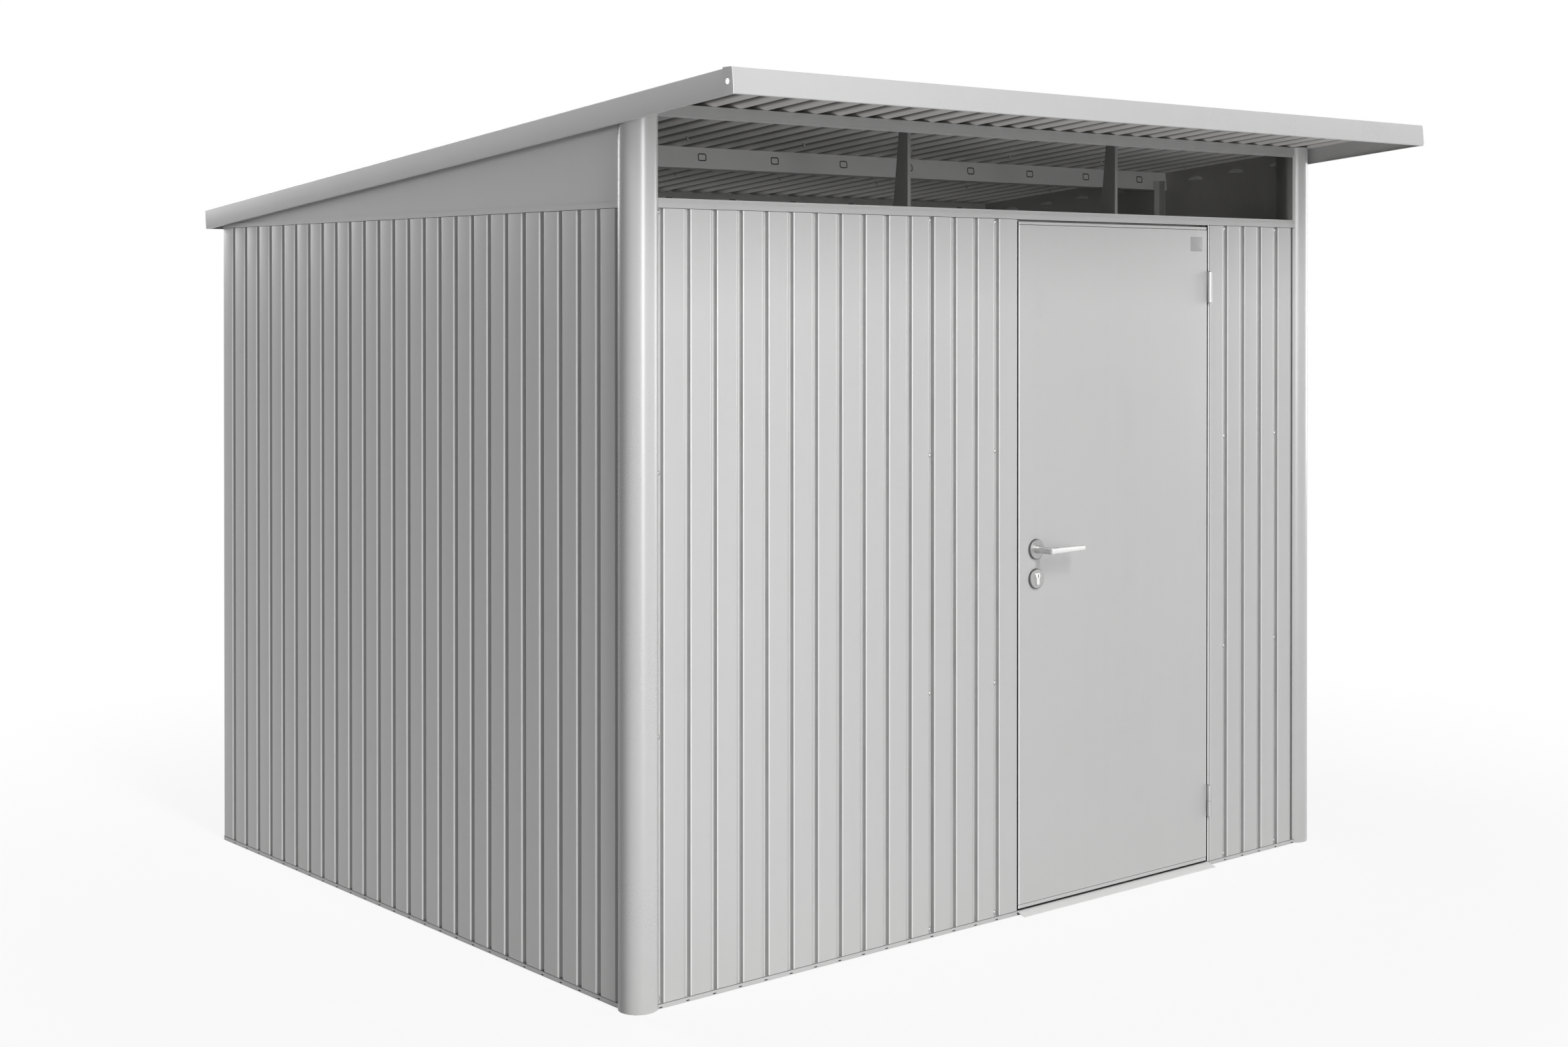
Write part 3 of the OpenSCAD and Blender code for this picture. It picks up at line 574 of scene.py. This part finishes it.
rearFold = plankLook["cornerFold"]
wallSheet("plankSheetFrontLeft", "front_wall_left", "front", frontDatum)
wallSheet("plankSheetFrontMiddle", "front_wall_middle", "front", frontDatum,
          after=[(doorLeft, 0.0), (doorLeft, doorFold)], end=plankMiddle(doorLeft, math.floor))
wallSheet("plankSheetFrontRight", "front_wall_right", "front", frontDatum,
          before=[(doorRight, doorFold), (doorRight, 0.0)], start=plankMiddle(doorRight, math.ceil))
wallSheet("plankSheetLeftRear", "left_wall_rear", "left", leftDatum, before=[(-walls["backY"], rearFold)])
wallSheet("plankSheetLeftFront", "left_wall_front", "left", leftDatum)
wallSheet("plankSheetRightFront", "right_wall_front", "right", rightDatum)
wallSheet("plankSheetRightRear", "right_wall_rear", "right", rightDatum, after=[(walls["backY"], rearFold)])
wallSheet("plankSheetBackRight", "back_wall_right", "back", frontDatum)
wallSheet("plankSheetBackLeft", "back_wall_left", "back", frontDatum)
print("plank walls made")


# Fascia with rounded bends, mitred at the corners

fasciaLook = {"high": 0.0595, "flange": 0.035, "lip": 0.009, "sheet": 0.0012, "bend": 0.0022, "inset": 0.0009,
              "capSide": 0.031, "capFront": 0.006, "capBend": 0.0042, "capSheet": 0.0007, "capInset": 0.0005}


def fasciaSide(name, node, turn, place, length):
    f = fasciaLook
    path = [(f["flange"], 0), (f["inset"], 0), (f["inset"], -f["high"]), (f["lip"], -f["high"])]
    cuts = [((0, 0, length / 2), (1, 0, 1)), ((0, 0, -length / 2), (1, 0, -1))]
    bm = bentSheet(path, -length / 2, length / 2, f["sheet"], f["bend"], cuts)
    matrix = onRoof @ Matrix.Translation(place) @ Matrix.Rotation(math.radians(turn), 4, "Z") @ alongWall
    bmesh.ops.transform(bm, matrix=matrix, verts=bm.verts)
    newPiece(name, bm, silver, "shed", [node])


def fasciaCaps():  # the front fascia's ends, folded round the corners
    f = fasciaLook
    whole = bmesh.new()
    edge = roof["width"] / 2 - f["capInset"]
    path = [(-edge, f["capSide"]), (-edge, f["capInset"]), (f["capFront"] - edge, f["capInset"])]
    for side in (1, -1):
        bm = bentSheet(path, -f["high"], 0, f["capSheet"], f["capBend"])
        for v in bm.verts:  # the upper edge runs level while the roof falls away
            if v.co.z > -f["high"] / 2:
                v.co.z += max(v.co.y, 0) * math.tan(slope)
        if side < 0:
            bmesh.ops.scale(bm, vec=(-1, 1, 1), verts=bm.verts)
            bmesh.ops.reverse_faces(bm, faces=bm.faces[:])
        joinInto(whole, bm, onRoof)
        bm.free()
    newPiece("fasciaCornerCaps", whole, silver, "shed")


# Roof sheets, smooth over their waves

def roofSheets():
    w = waveLook
    low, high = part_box("roof_sheets")
    shares = [k / roof["sheets"] - 0.5 for k in range(1, roof["sheets"])]
    joints = [w["pitch"] * (math.floor(share * roof["width"] / w["pitch"]) + 0.5) for share in shares]
    ends = [low.x - w["joint"] / 2] + joints + [high.x + w["joint"] / 2]
    length = roof["length"] - 2 * fasciaLook["sheet"] - w["joint"] * 2
    whole = bmesh.new()
    for a, b in zip(ends, ends[1:]):
        bm = bmesh.new()
        bmesh.ops.create_grid(bm, x_segments=round((b - a) / w["step"]), y_segments=1, size=0.5)
        bmesh.ops.scale(bm, vec=(b - a - w["joint"], length, 1), verts=bm.verts)
        bmesh.ops.translate(bm, vec=((a + b) / 2, roof["length"] / 2, -w["seat"]), verts=bm.verts)
        for v in bm.verts:
            v.co.z += w["depth"] * (1 - math.cos(2 * math.pi * v.co.x / w["pitch"])) / 2
        bmesh.ops.reverse_faces(bm, faces=bm.faces[:])  # so that the wall grows upwards
        bmesh.ops.solidify(bm, geom=bm.faces[:], thickness=w["sheet"])
        joinInto(whole, bm, onRoof)
        bm.free()
    newPiece("wavedRoofSheets", whole, roofGrey, "shed", ["roof_sheets"],
             other=(roofUnder, lambda face: face.normal.z < 0))


roofSheets()
fasciaSide("bentFasciaFront", "fascia_front", 0, (0, 0, 0), roof["width"])
fasciaSide("bentFasciaBack", "fascia_back", 180, (0, roof["length"], 0), roof["width"])
fasciaSide("bentFasciaLeft", "fascia_left", -90, (-roof["width"] / 2, roof["length"] / 2, 0), roof["length"])
fasciaSide("bentFasciaRight", "fascia_right", 90, (roof["width"] / 2, roof["length"] / 2, 0), roof["length"])
fasciaCaps()
print("roof made")


# Door skin: a tray with rounded side bends and a hem at each end

doorLook = {"bend": 0.0028, "skin": 0.001, "lip": 0.018, "hemSet": 0.0008, "hemLow": 0.010, "hemTop": 0.008,
            "seam": 0.0014}


def doorSkin():
    d = doorLook
    low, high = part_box("door_leaf")
    l, r, back = low.x, high.x, high.y - low.y
    seams = (low.z, low.z + d["hemLow"], high.z - d["hemTop"], high.z)
    whole = bmesh.new()
    for k, setBack in enumerate((d["hemSet"], 0.0, d["hemSet"])):
        path = [(l + d["lip"], back), (l, back), (l, setBack), (r, setBack), (r, back), (r - d["lip"], back)]
        bottom = seams[k] + (d["seam"] / 2 if k > 0 else 0)
        top = seams[k + 1] - (d["seam"] / 2 if k < 2 else 0)
        bm = bentSheet(path, bottom, top, d["skin"], d["bend"])
        joinInto(whole, bm, wallFrame("front"))
        bm.free()
    for height, outer in ((low.z, False), (high.z, True)):  # the closed ends
        path = [(d["hemSet"] + d["bend"], height), (back - d["bend"], height)]
        bm = bentSheet(path[::-1] if outer else path, l + d["bend"], r - d["bend"], d["skin"], 0)
        joinInto(whole, bm, wallFrame("front") @ alongWall)
        bm.free()

    def edgeShade(face):  # painted shade: black round the leaf's edges, behind their bends
        depth = face.calc_center_median().y - low.y
        return abs(face.normal.y) < 0.3 and d["bend"] < depth < back - d["bend"]

    newPiece("doorSkin", whole, doorPaint, "door", ["door_leaf"], other=(gapShadeBlack, edgeShade))


doorSkin()
print("door skin made")


# Small fittings

sunk = 0.0004   # how far a small turned piece reaches into what carries it
weld = 0.00002  # points closer than this are one


def lathe(profile, steps):  # turns a half profile round the z axis
    bm = bmesh.new()
    points = [bm.verts.new((r, 0, z)) for r, z in profile]
    edges = [bm.edges.new(pair) for pair in zip(points, points[1:])]
    bmesh.ops.spin(bm, geom=points + edges, axis=(0, 0, 1), cent=(0, 0, 0), angle=2 * math.pi, steps=steps,
                   use_merge=True)
    bmesh.ops.remove_doubles(bm, verts=bm.verts, dist=weld)
    bmesh.ops.recalc_face_normals(bm, faces=bm.faces)
    return bm


def plate(size, corner, edge):  # a flat plate with round corners and soft edges, its back on z = 0
    bm = bmesh.new()
    bmesh.ops.create_cube(bm, size=1.0)
    bmesh.ops.scale(bm, vec=size, verts=bm.verts)
    bmesh.ops.translate(bm, vec=(0, 0, size[2] / 2), verts=bm.verts)
    rounded(bm, [e for e in bm.edges if abs(e.verts[0].co.z - e.verts[1].co.z) > size[2] / 2], corner)
    rounded(bm, [e for e in bm.edges if all(v.co.z > size[2] / 2 for v in e.verts)], edge, 2)
    return bm


def facing(place, normal, up=(0, 0, 1)):  # a frame at place with z along normal and y upwards
    z = Vector(normal).normalized()
    x = Vector(up).cross(z).normalized()
    turn = Matrix((x, z.cross(x), z)).transposed().to_4x4()
    return Matrix.Translation(place) @ turn


def scattered(name, bm, frames, finish, body):  # one joined mesh of a repeated fitting
    whole = bmesh.new()
    for matrix in frames:
        joinInto(whole, bm, matrix)
    bm.free()
    newPiece(name, whole, finish, body)


screwLook = {"head": 0.0050, "washer": 0.0066, "high": 0.0032, "sunk": 0.0006, "steps": 14,
             "dome": ((0, 1), (0.55, 0.92), (0.9, 0.66), (1, 0.36)), "washerHigh": 0.28}


def panHead(high=screwLook["high"]):
    s = screwLook
    dome = [(s["head"] * across, high * up) for across, up in s["dome"]]
    washer = [(s["washer"], high * s["washerHigh"]), (s["washer"], -s["sunk"]), (0, -s["sunk"])]
    return lathe(dome + washer, s["steps"])


wallScrews = {"grooves": (0, 11, 14, 26, 29), "heights": (0.023, 0.637, 1.256, 1.868), "beside": 0.0115}
capScrew = {"along": 0.0165, "below": 0.0305}


def coverScrews():
    flank = Vector((plankLook["depth"], -plankLook["flank"], 0))
    frames = []
    for groove in wallScrews["grooves"]:
        x = frontDatum + groove * plankLook["pitch"] - wallScrews["beside"]
        y = walls["faceY"] + plankDepth(x, frontDatum)
        frames += [facing((x, y, z), flank) for z in wallScrews["heights"]]
    scattered("frontWallScrews", panHead(), frames, hingeSteel, "shed")
    edge = roof["width"] / 2 - fasciaLook["capInset"]
    frames = [onRoof @ facing((side * edge, capScrew["along"], -capScrew["below"]), (side, 0, 0))
              for side in (-1, 1)]
    scattered("fasciaCapScrews", panHead(fasciaLook["capInset"]), frames, plugNickel, "shed")


roofScrewLook = {"rows": (0.814, 1.399), "step": 0.400, "eachSide": 3,
                 "tip": 0.012, "thread": 0.0024, "steps": 10}


def roofScrews():
    r = roofScrewLook
    bm = panHead()
    tip = lathe([(0, -r["tip"]), (r["thread"] * 0.6, -r["tip"] * 0.8), (r["thread"], -r["tip"] * 0.6),
                 (r["thread"], -sunk), (0, -sunk)], r["steps"])
    joinInto(bm, tip)
    tip.free()
    top = waveLook["sheet"] - waveLook["seat"]
    frames = [onRoof @ Matrix.Translation((k * r["step"], y, top))
              for y in r["rows"] for k in range(-r["eachSide"], r["eachSide"] + 1)]
    scattered("roofScrews", bm, frames, screwZinc, "shed")


coverScrews()
roofScrews()
print("screws made")

purlinLook = {"behindFace": (0.562, 1.387), "frontOver": 0.3905, "below": 0.0265, "web": 0.0012,
              "gap": 0.0003, "slot": (0.029, 0.021), "line": 0.0030, "corner": 0.006,
              "first": -1.1534, "step": 0.25501, "count": 10}


def knockouts():  # punched outlines in the purlins' webs, drawn as black rings of painted shade
    p = purlinLook
    bm = bmesh.new()
    bmesh.ops.create_grid(bm, x_segments=1, y_segments=1, size=0.5)
    bmesh.ops.scale(bm, vec=(p["slot"][0], p["slot"][1], 1), verts=bm.verts)
    rounded(bm, bm.verts[:], p["corner"], affect="VERTICES")
    bmesh.ops.inset_region(bm, faces=bm.faces[:], thickness=p["line"], use_boundary=True,
                           use_even_offset=True)
    middle = max(bm.faces, key=lambda face: len(face.verts))
    bmesh.ops.delete(bm, geom=[middle], context="FACES_ONLY")
    bmesh.ops.solidify(bm, geom=bm.faces[:], thickness=p["web"] + 2 * p["gap"])
    places = [p["first"] + k * p["step"] for k in range(p["count"])]
    z = -waveLook["seat"] - p["gap"] - p["below"]
    frames = []
    for behind in p["behindFace"]:
        y = (p["frontOver"] + behind) / math.cos(slope) - p["gap"]
        frames += [onRoof @ facing((x, y, z), (0, -1, 0)) for x in places]
    scattered("purlinKnockouts", bm, frames, gapShadeBlack, "shed")


louvreLook = {"long": 0.060, "high": 0.013, "out": 0.007, "first": -0.798, "step": 0.1635, "count": 12,
              "belowRoof": 0.052}


def gableLouvres():  # half-moon vents pressed into the gable plates
    l = louvreLook
    bm = bmesh.new()
    bmesh.ops.create_uvsphere(bm, u_segments=20, v_segments=10, radius=1.0)
    bmesh.ops.scale(bm, vec=(l["long"] / 2, l["high"], l["out"]), verts=bm.verts)
    for direction in ((0, -1, 0), (0, 0, -1)):
        cutOff(bm, (0, 0, 0), direction)
        bmesh.ops.holes_fill(bm, edges=[e for e in bm.edges if e.is_boundary])
    frames = []
    for side, node in ((-1, "gable_left"), (1, "gable_right")):
        low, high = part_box(node)
        inner = high.x if side < 0 else low.x
        for k in range(l["count"]):
            y = l["first"] + k * l["step"]
            z = roof["top"] - (y - roof["front"]) * math.tan(slope) - l["belowRoof"]
            frames.append(facing((inner, y, z), (-side, 0, 0)))
    scattered("gableLouvres", bm, frames, purlinLitGrey, "shed")


knockouts()
gableLouvres()
print("purlin and gable details made")

coreLook = {"core": 0.0064, "proud": 0.0007, "height": 0.911, "steps": 24,
            "slot": (0.0019, 0.0100, 0.0003), "slotCorner": 0.0006, "slotEdge": 0.0001}


def lockCore():  # the turning core of the lock with its keyhole, a black plate of painted shade, on both faces
    c = coreLook
    low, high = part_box("lock_cylinder")
    core = lathe([(0, c["proud"]), (c["core"] * 0.93, c["proud"]), (c["core"], c["proud"] * 0.4),
                  (c["core"], -sunk), (0, -sunk)], c["steps"])
    slot = plate(c["slot"], c["slotCorner"], c["slotEdge"])
    ends = [facing((lockX, low.y, c["height"]), (0, -1, 0)), facing((lockX, high.y, c["height"]), (0, 1, 0))]
    scattered("lockCores", core, ends, plugNickel, "door")
    lift = Matrix.Translation((0, 0, c["proud"]))
    scattered("keyholes", slot, [end @ lift for end in ends], gapShadeBlack, "door")


doorPlate = {"size": (0.052, 0.042, 0.0007), "middle": (0.746, 1.821), "corner": 0.003, "edge": 0.0003}
strikePlate = {"size": (0.020, 0.092, 0.0015), "height": 0.944, "depth": 0.014,
               "corner": 0.004, "edge": 0.0003}


def doorFittings():
    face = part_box("door_leaf")[0].y
    x, z = doorPlate["middle"]
    blank = plate(doorPlate["size"], doorPlate["corner"], doorPlate["edge"])
    scattered("blankDoorPlate", blank, [facing((x, face, z), (0, -1, 0))], plateGrey, "door")
    strike = plate(strikePlate["size"], strikePlate["corner"], strikePlate["edge"])
    spot = (doorLeft, face + strikePlate["depth"], strikePlate["height"])
    scattered("strikePlate", strike, [facing(spot, (1, 0, 0))], hingeSteel, "shed")


sillGapShade = {"behind": 0.004, "thick": 0.0015, "clear": 0.0005, "corner": 0.0005, "edge": 0.0002}


def doorGapShade():  # painted shadow: a black strip on the sill, under the closed door
    s = sillGapShade
    low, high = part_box("door_leaf")
    bottom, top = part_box("door_sill")[1].z, low.z - s["clear"]
    strip = plate((high.x - low.x, top - bottom, s["thick"]), s["corner"], s["edge"])
    place = ((low.x + high.x) / 2, low.y + s["behind"] + s["thick"], (bottom + top) / 2)
    scattered("sillGapShade", strip, [facing(place, (0, -1, 0))], gapShadeBlack, "shed")


hingeLook = {"radius": 0.0065, "cap": 0.0022, "length": 0.090, "steps": 24,
             "dome": ((0, 1), (0.5, 0.87), (0.84, 0.5), (1, 0), (0, 0))}


def hingeCaps():  # rounded ends on the hinge barrels
    h = hingeLook
    dome = [(h["radius"] * across, h["cap"] * up) for across, up in h["dome"]]
    x, y, _ = jointPlace("door_swing")
    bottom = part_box("hinge_frame_halves")[0].z
    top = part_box("hinge_door_halves")[1].z
    apart = top - bottom - h["length"]
    for name, body, up, heights in (("hingeCapsBelow", "shed", -1, (bottom, bottom + apart)),
                                    ("hingeCapsAbove", "door", 1, (top - apart, top))):
        frames = [facing((x, y, z), (0, 0, up), (0, 1, 0)) for z in heights]
        scattered(name, lathe(dome, h["steps"]), frames, hingeSteel, body)


lockCore()
doorFittings()
doorGapShade()
hingeCaps()
print("lock and door fittings made")

baseLook = {"top": 0.011, "seam": 0.0010, "seamCorner": 0.0003, "slot": (0.012, 0.0038), "slotCorner": 0.0004,
            "slotMiddle": 0.0028, "slotHalf": 0.005, "behind": 0.0016, "thick": 0.0003, "edge": 0.0001}
baseRails = (("base_rail_front_left", "front", frontDatum), ("base_rail_front_right", "front", frontDatum),
             ("base_rail_back", "back", frontDatum), ("base_rail_left", "left", leftDatum),
             ("base_rail_right", "right", rightDatum))


def baseShadowLines():  # painted shadow lines at the seams below and above the wall sheets, and painted shade behind the drain slots
    b = baseLook
    seams, slots = bmesh.new(), []
    for node, side, datum in baseRails:
        start, end = wallSpan(node, side)
        seam = plate((end - start, b["seam"], b["thick"]), b["seamCorner"], b["edge"])
        for height in (b["top"], walls["top"]):
            joinInto(seams, seam, wallFrame(side) @ facing(((start + end) / 2, 0, height), (0, -1, 0)))
        seam.free()
        first = math.ceil((start + 2 * b["slotHalf"] - datum) / plankLook["pitch"])
        for k in range(first, math.floor((end - datum) / plankLook["pitch"]) + 1):
            s = datum + k * plankLook["pitch"] - b["slotHalf"]
            slots.append(wallFrame(side) @ facing((s, b["behind"], b["slotMiddle"]), (0, -1, 0)))
    newPiece("sheetSeamShadows", seams, gapShadeBlack, "shed")
    slot = plate(b["slot"] + (b["thick"],), b["slotCorner"], b["edge"])
    scattered("drainSlotShade", slot, slots, gapShadeBlack, "shed")


baseShadowLines()
print("base lines made")


# Stage: floor, lamps, camera

stageLook = {"floorSize": 120.0, "floorBelow": 0.0005, "floorTone": 0.85, "floorUneven": 0.02,
             "floorScale": 1.2, "floorWhite": 0.86, "fadeFrom": 1.6, "fadeTo": 4.2, "ambient": 0.03}


def stageFloor():
    k = stageLook
    bm = bmesh.new()
    bmesh.ops.create_grid(bm, x_segments=1, y_segments=1, size=k["floorSize"] / 2)
    bmesh.ops.translate(bm, vec=(0, 0, -k["floorBelow"]), verts=bm.verts)
    mesh = bpy.data.meshes.new("stageFloor")
    bm.to_mesh(mesh)
    bm.free()
    floor = bpy.data.objects.new("stageFloor", mesh)
    bpy.context.scene.collection.objects.link(floor)
    f = newFinish("paleFloor")
    dark, light = k["floorTone"] * (1 - k["floorUneven"]), k["floorTone"] * (1 + k["floorUneven"])
    tone = f.mixed(f.noise(k["floorScale"], 3.0), grey(dark), grey(light))
    fade = f.length(f.place).between(k["fadeFrom"], k["fadeTo"])  # the floor turns white away from the shed
    depth = f.axis("Y")
    indoors = (abs(f.axis("X")) < walls["halfWidth"]) * (depth > walls["faceY"]) * (depth < walls["backY"])
    whiteness = (fade * (1 - k["floorWhite"]) + k["floorWhite"]) * (1 - indoors)
    matt = f.wire("ShaderNodeBsdfDiffuse", "BSDF", None, {"Color": tone})
    white = f.wire("ShaderNodeEmission", "Emission", None, {"Color": grey(1.0), "Strength": 1.0})
    share = f.seenBy("Camera", "Glossy") * whiteness
    f.surface(f.wire("ShaderNodeMixShader", "Shader", None, {0: share, 1: matt, 2: white}))
    mesh.materials.append(f.holder)


def whiteWorld():  # white where it is seen, dim as a light
    world = bpy.data.worlds.new("studio")
    bpy.context.scene.world = world
    f = Finish(world)
    seen = f.seenBy("Camera", "Transmission", "Glossy")
    strength = seen * (1 - stageLook["ambient"]) + stageLook["ambient"]
    sky = f.wire("ShaderNodeBackground", "Background", None, {"Color": grey(1.0), "Strength": strength})
    f.surface(sky, "ShaderNodeOutputWorld")


# azimuth counts from the front to the left, in degrees
lampLook = {
    "keySoftbox": {"azimuth": 11.0, "height": 10.6, "distance": 13.0, "size": (2.4, 7.0), "power": 1215.0},
    "stripSoftbox": {"azimuth": 11.0, "height": 3.6, "distance": 14.0, "size": (2.4, 7.0), "power": 540.0},
    "edgeStrip": {"azimuth": 20.3, "height": 1.6, "distance": 4.5, "size": (1.1, 3.0), "power": 3.2,
                  "aim": (-1.24, -0.87, 1.1), "spread": 50.0},
    "roofFill": {"azimuth": 180.0, "height": 1.3, "distance": 0.75, "size": (2.0, 0.6), "power": 1.3,
                 "aim": (0.0, 0.9, 2.2)},
    "leftSoftbox": {"azimuth": 128.0, "height": 3.2, "distance": 5.0, "size": (2.0, 2.4), "power": 8.0},
    "rearSoftbox": {"azimuth": 165.0, "height": 4.0, "distance": 7.0, "size": (2.4, 4.0), "power": 285.0},
    "rightSoftbox": {"azimuth": -77.0, "height": 2.6, "distance": 7.0, "size": (2.4, 4.0), "power": 130.0}}


def softbox(name, azimuth, height, distance, size, power, aim=(0.0, -0.9, 1.1), spread=180.0):
    lamp = bpy.data.lights.new(name, "AREA")
    lamp.shape = "RECTANGLE"
    lamp.size, lamp.size_y = size
    lamp.energy = power
    lamp.spread = math.radians(spread)
    box = bpy.data.objects.new(name, lamp)
    turn = math.radians(azimuth)
    box.location = Vector((-math.sin(turn) * distance, -math.cos(turn) * distance, height))
    box.rotation_euler = (Vector(aim) - box.location).to_track_quat("-Z", "Y").to_euler()
    box.visible_camera = False
    bpy.context.scene.collection.objects.link(box)


# the photo's camera, from its size, focal length and principal point in pixels
photoView = {"size": (2349, 1568), "focalPixels": 3270.51, "principalY": 458.72,
             "place": (-4.26462, -5.00923, 1.67543), "turn": -40.0003, "pitch": -0.32,
             "sensor": 36.0, "farthest": 200.0}


def photoCamera():
    v = photoView
    wide, high = v["size"]
    lens = bpy.data.cameras.new("photoCamera")
    lens.sensor_width = v["sensor"]
    lens.lens = v["focalPixels"] * v["sensor"] / wide
    lens.shift_y = (v["principalY"] - high / 2) / wide
    lens.clip_end = v["farthest"]
    camera = bpy.data.objects.new("photoCamera", lens)
    camera.location = v["place"]
    camera.rotation_euler = (math.radians(90 + v["pitch"]), 0.0, math.radians(v["turn"]))
    bpy.context.scene.collection.objects.link(camera)
    bpy.context.scene.camera = camera


stageFloor()
whiteWorld()
for name, settings in lampLook.items():
    softbox(name, **settings)
photoCamera()
bpy.context.scene.view_settings.view_transform = "Standard"
print("stage and camera set")
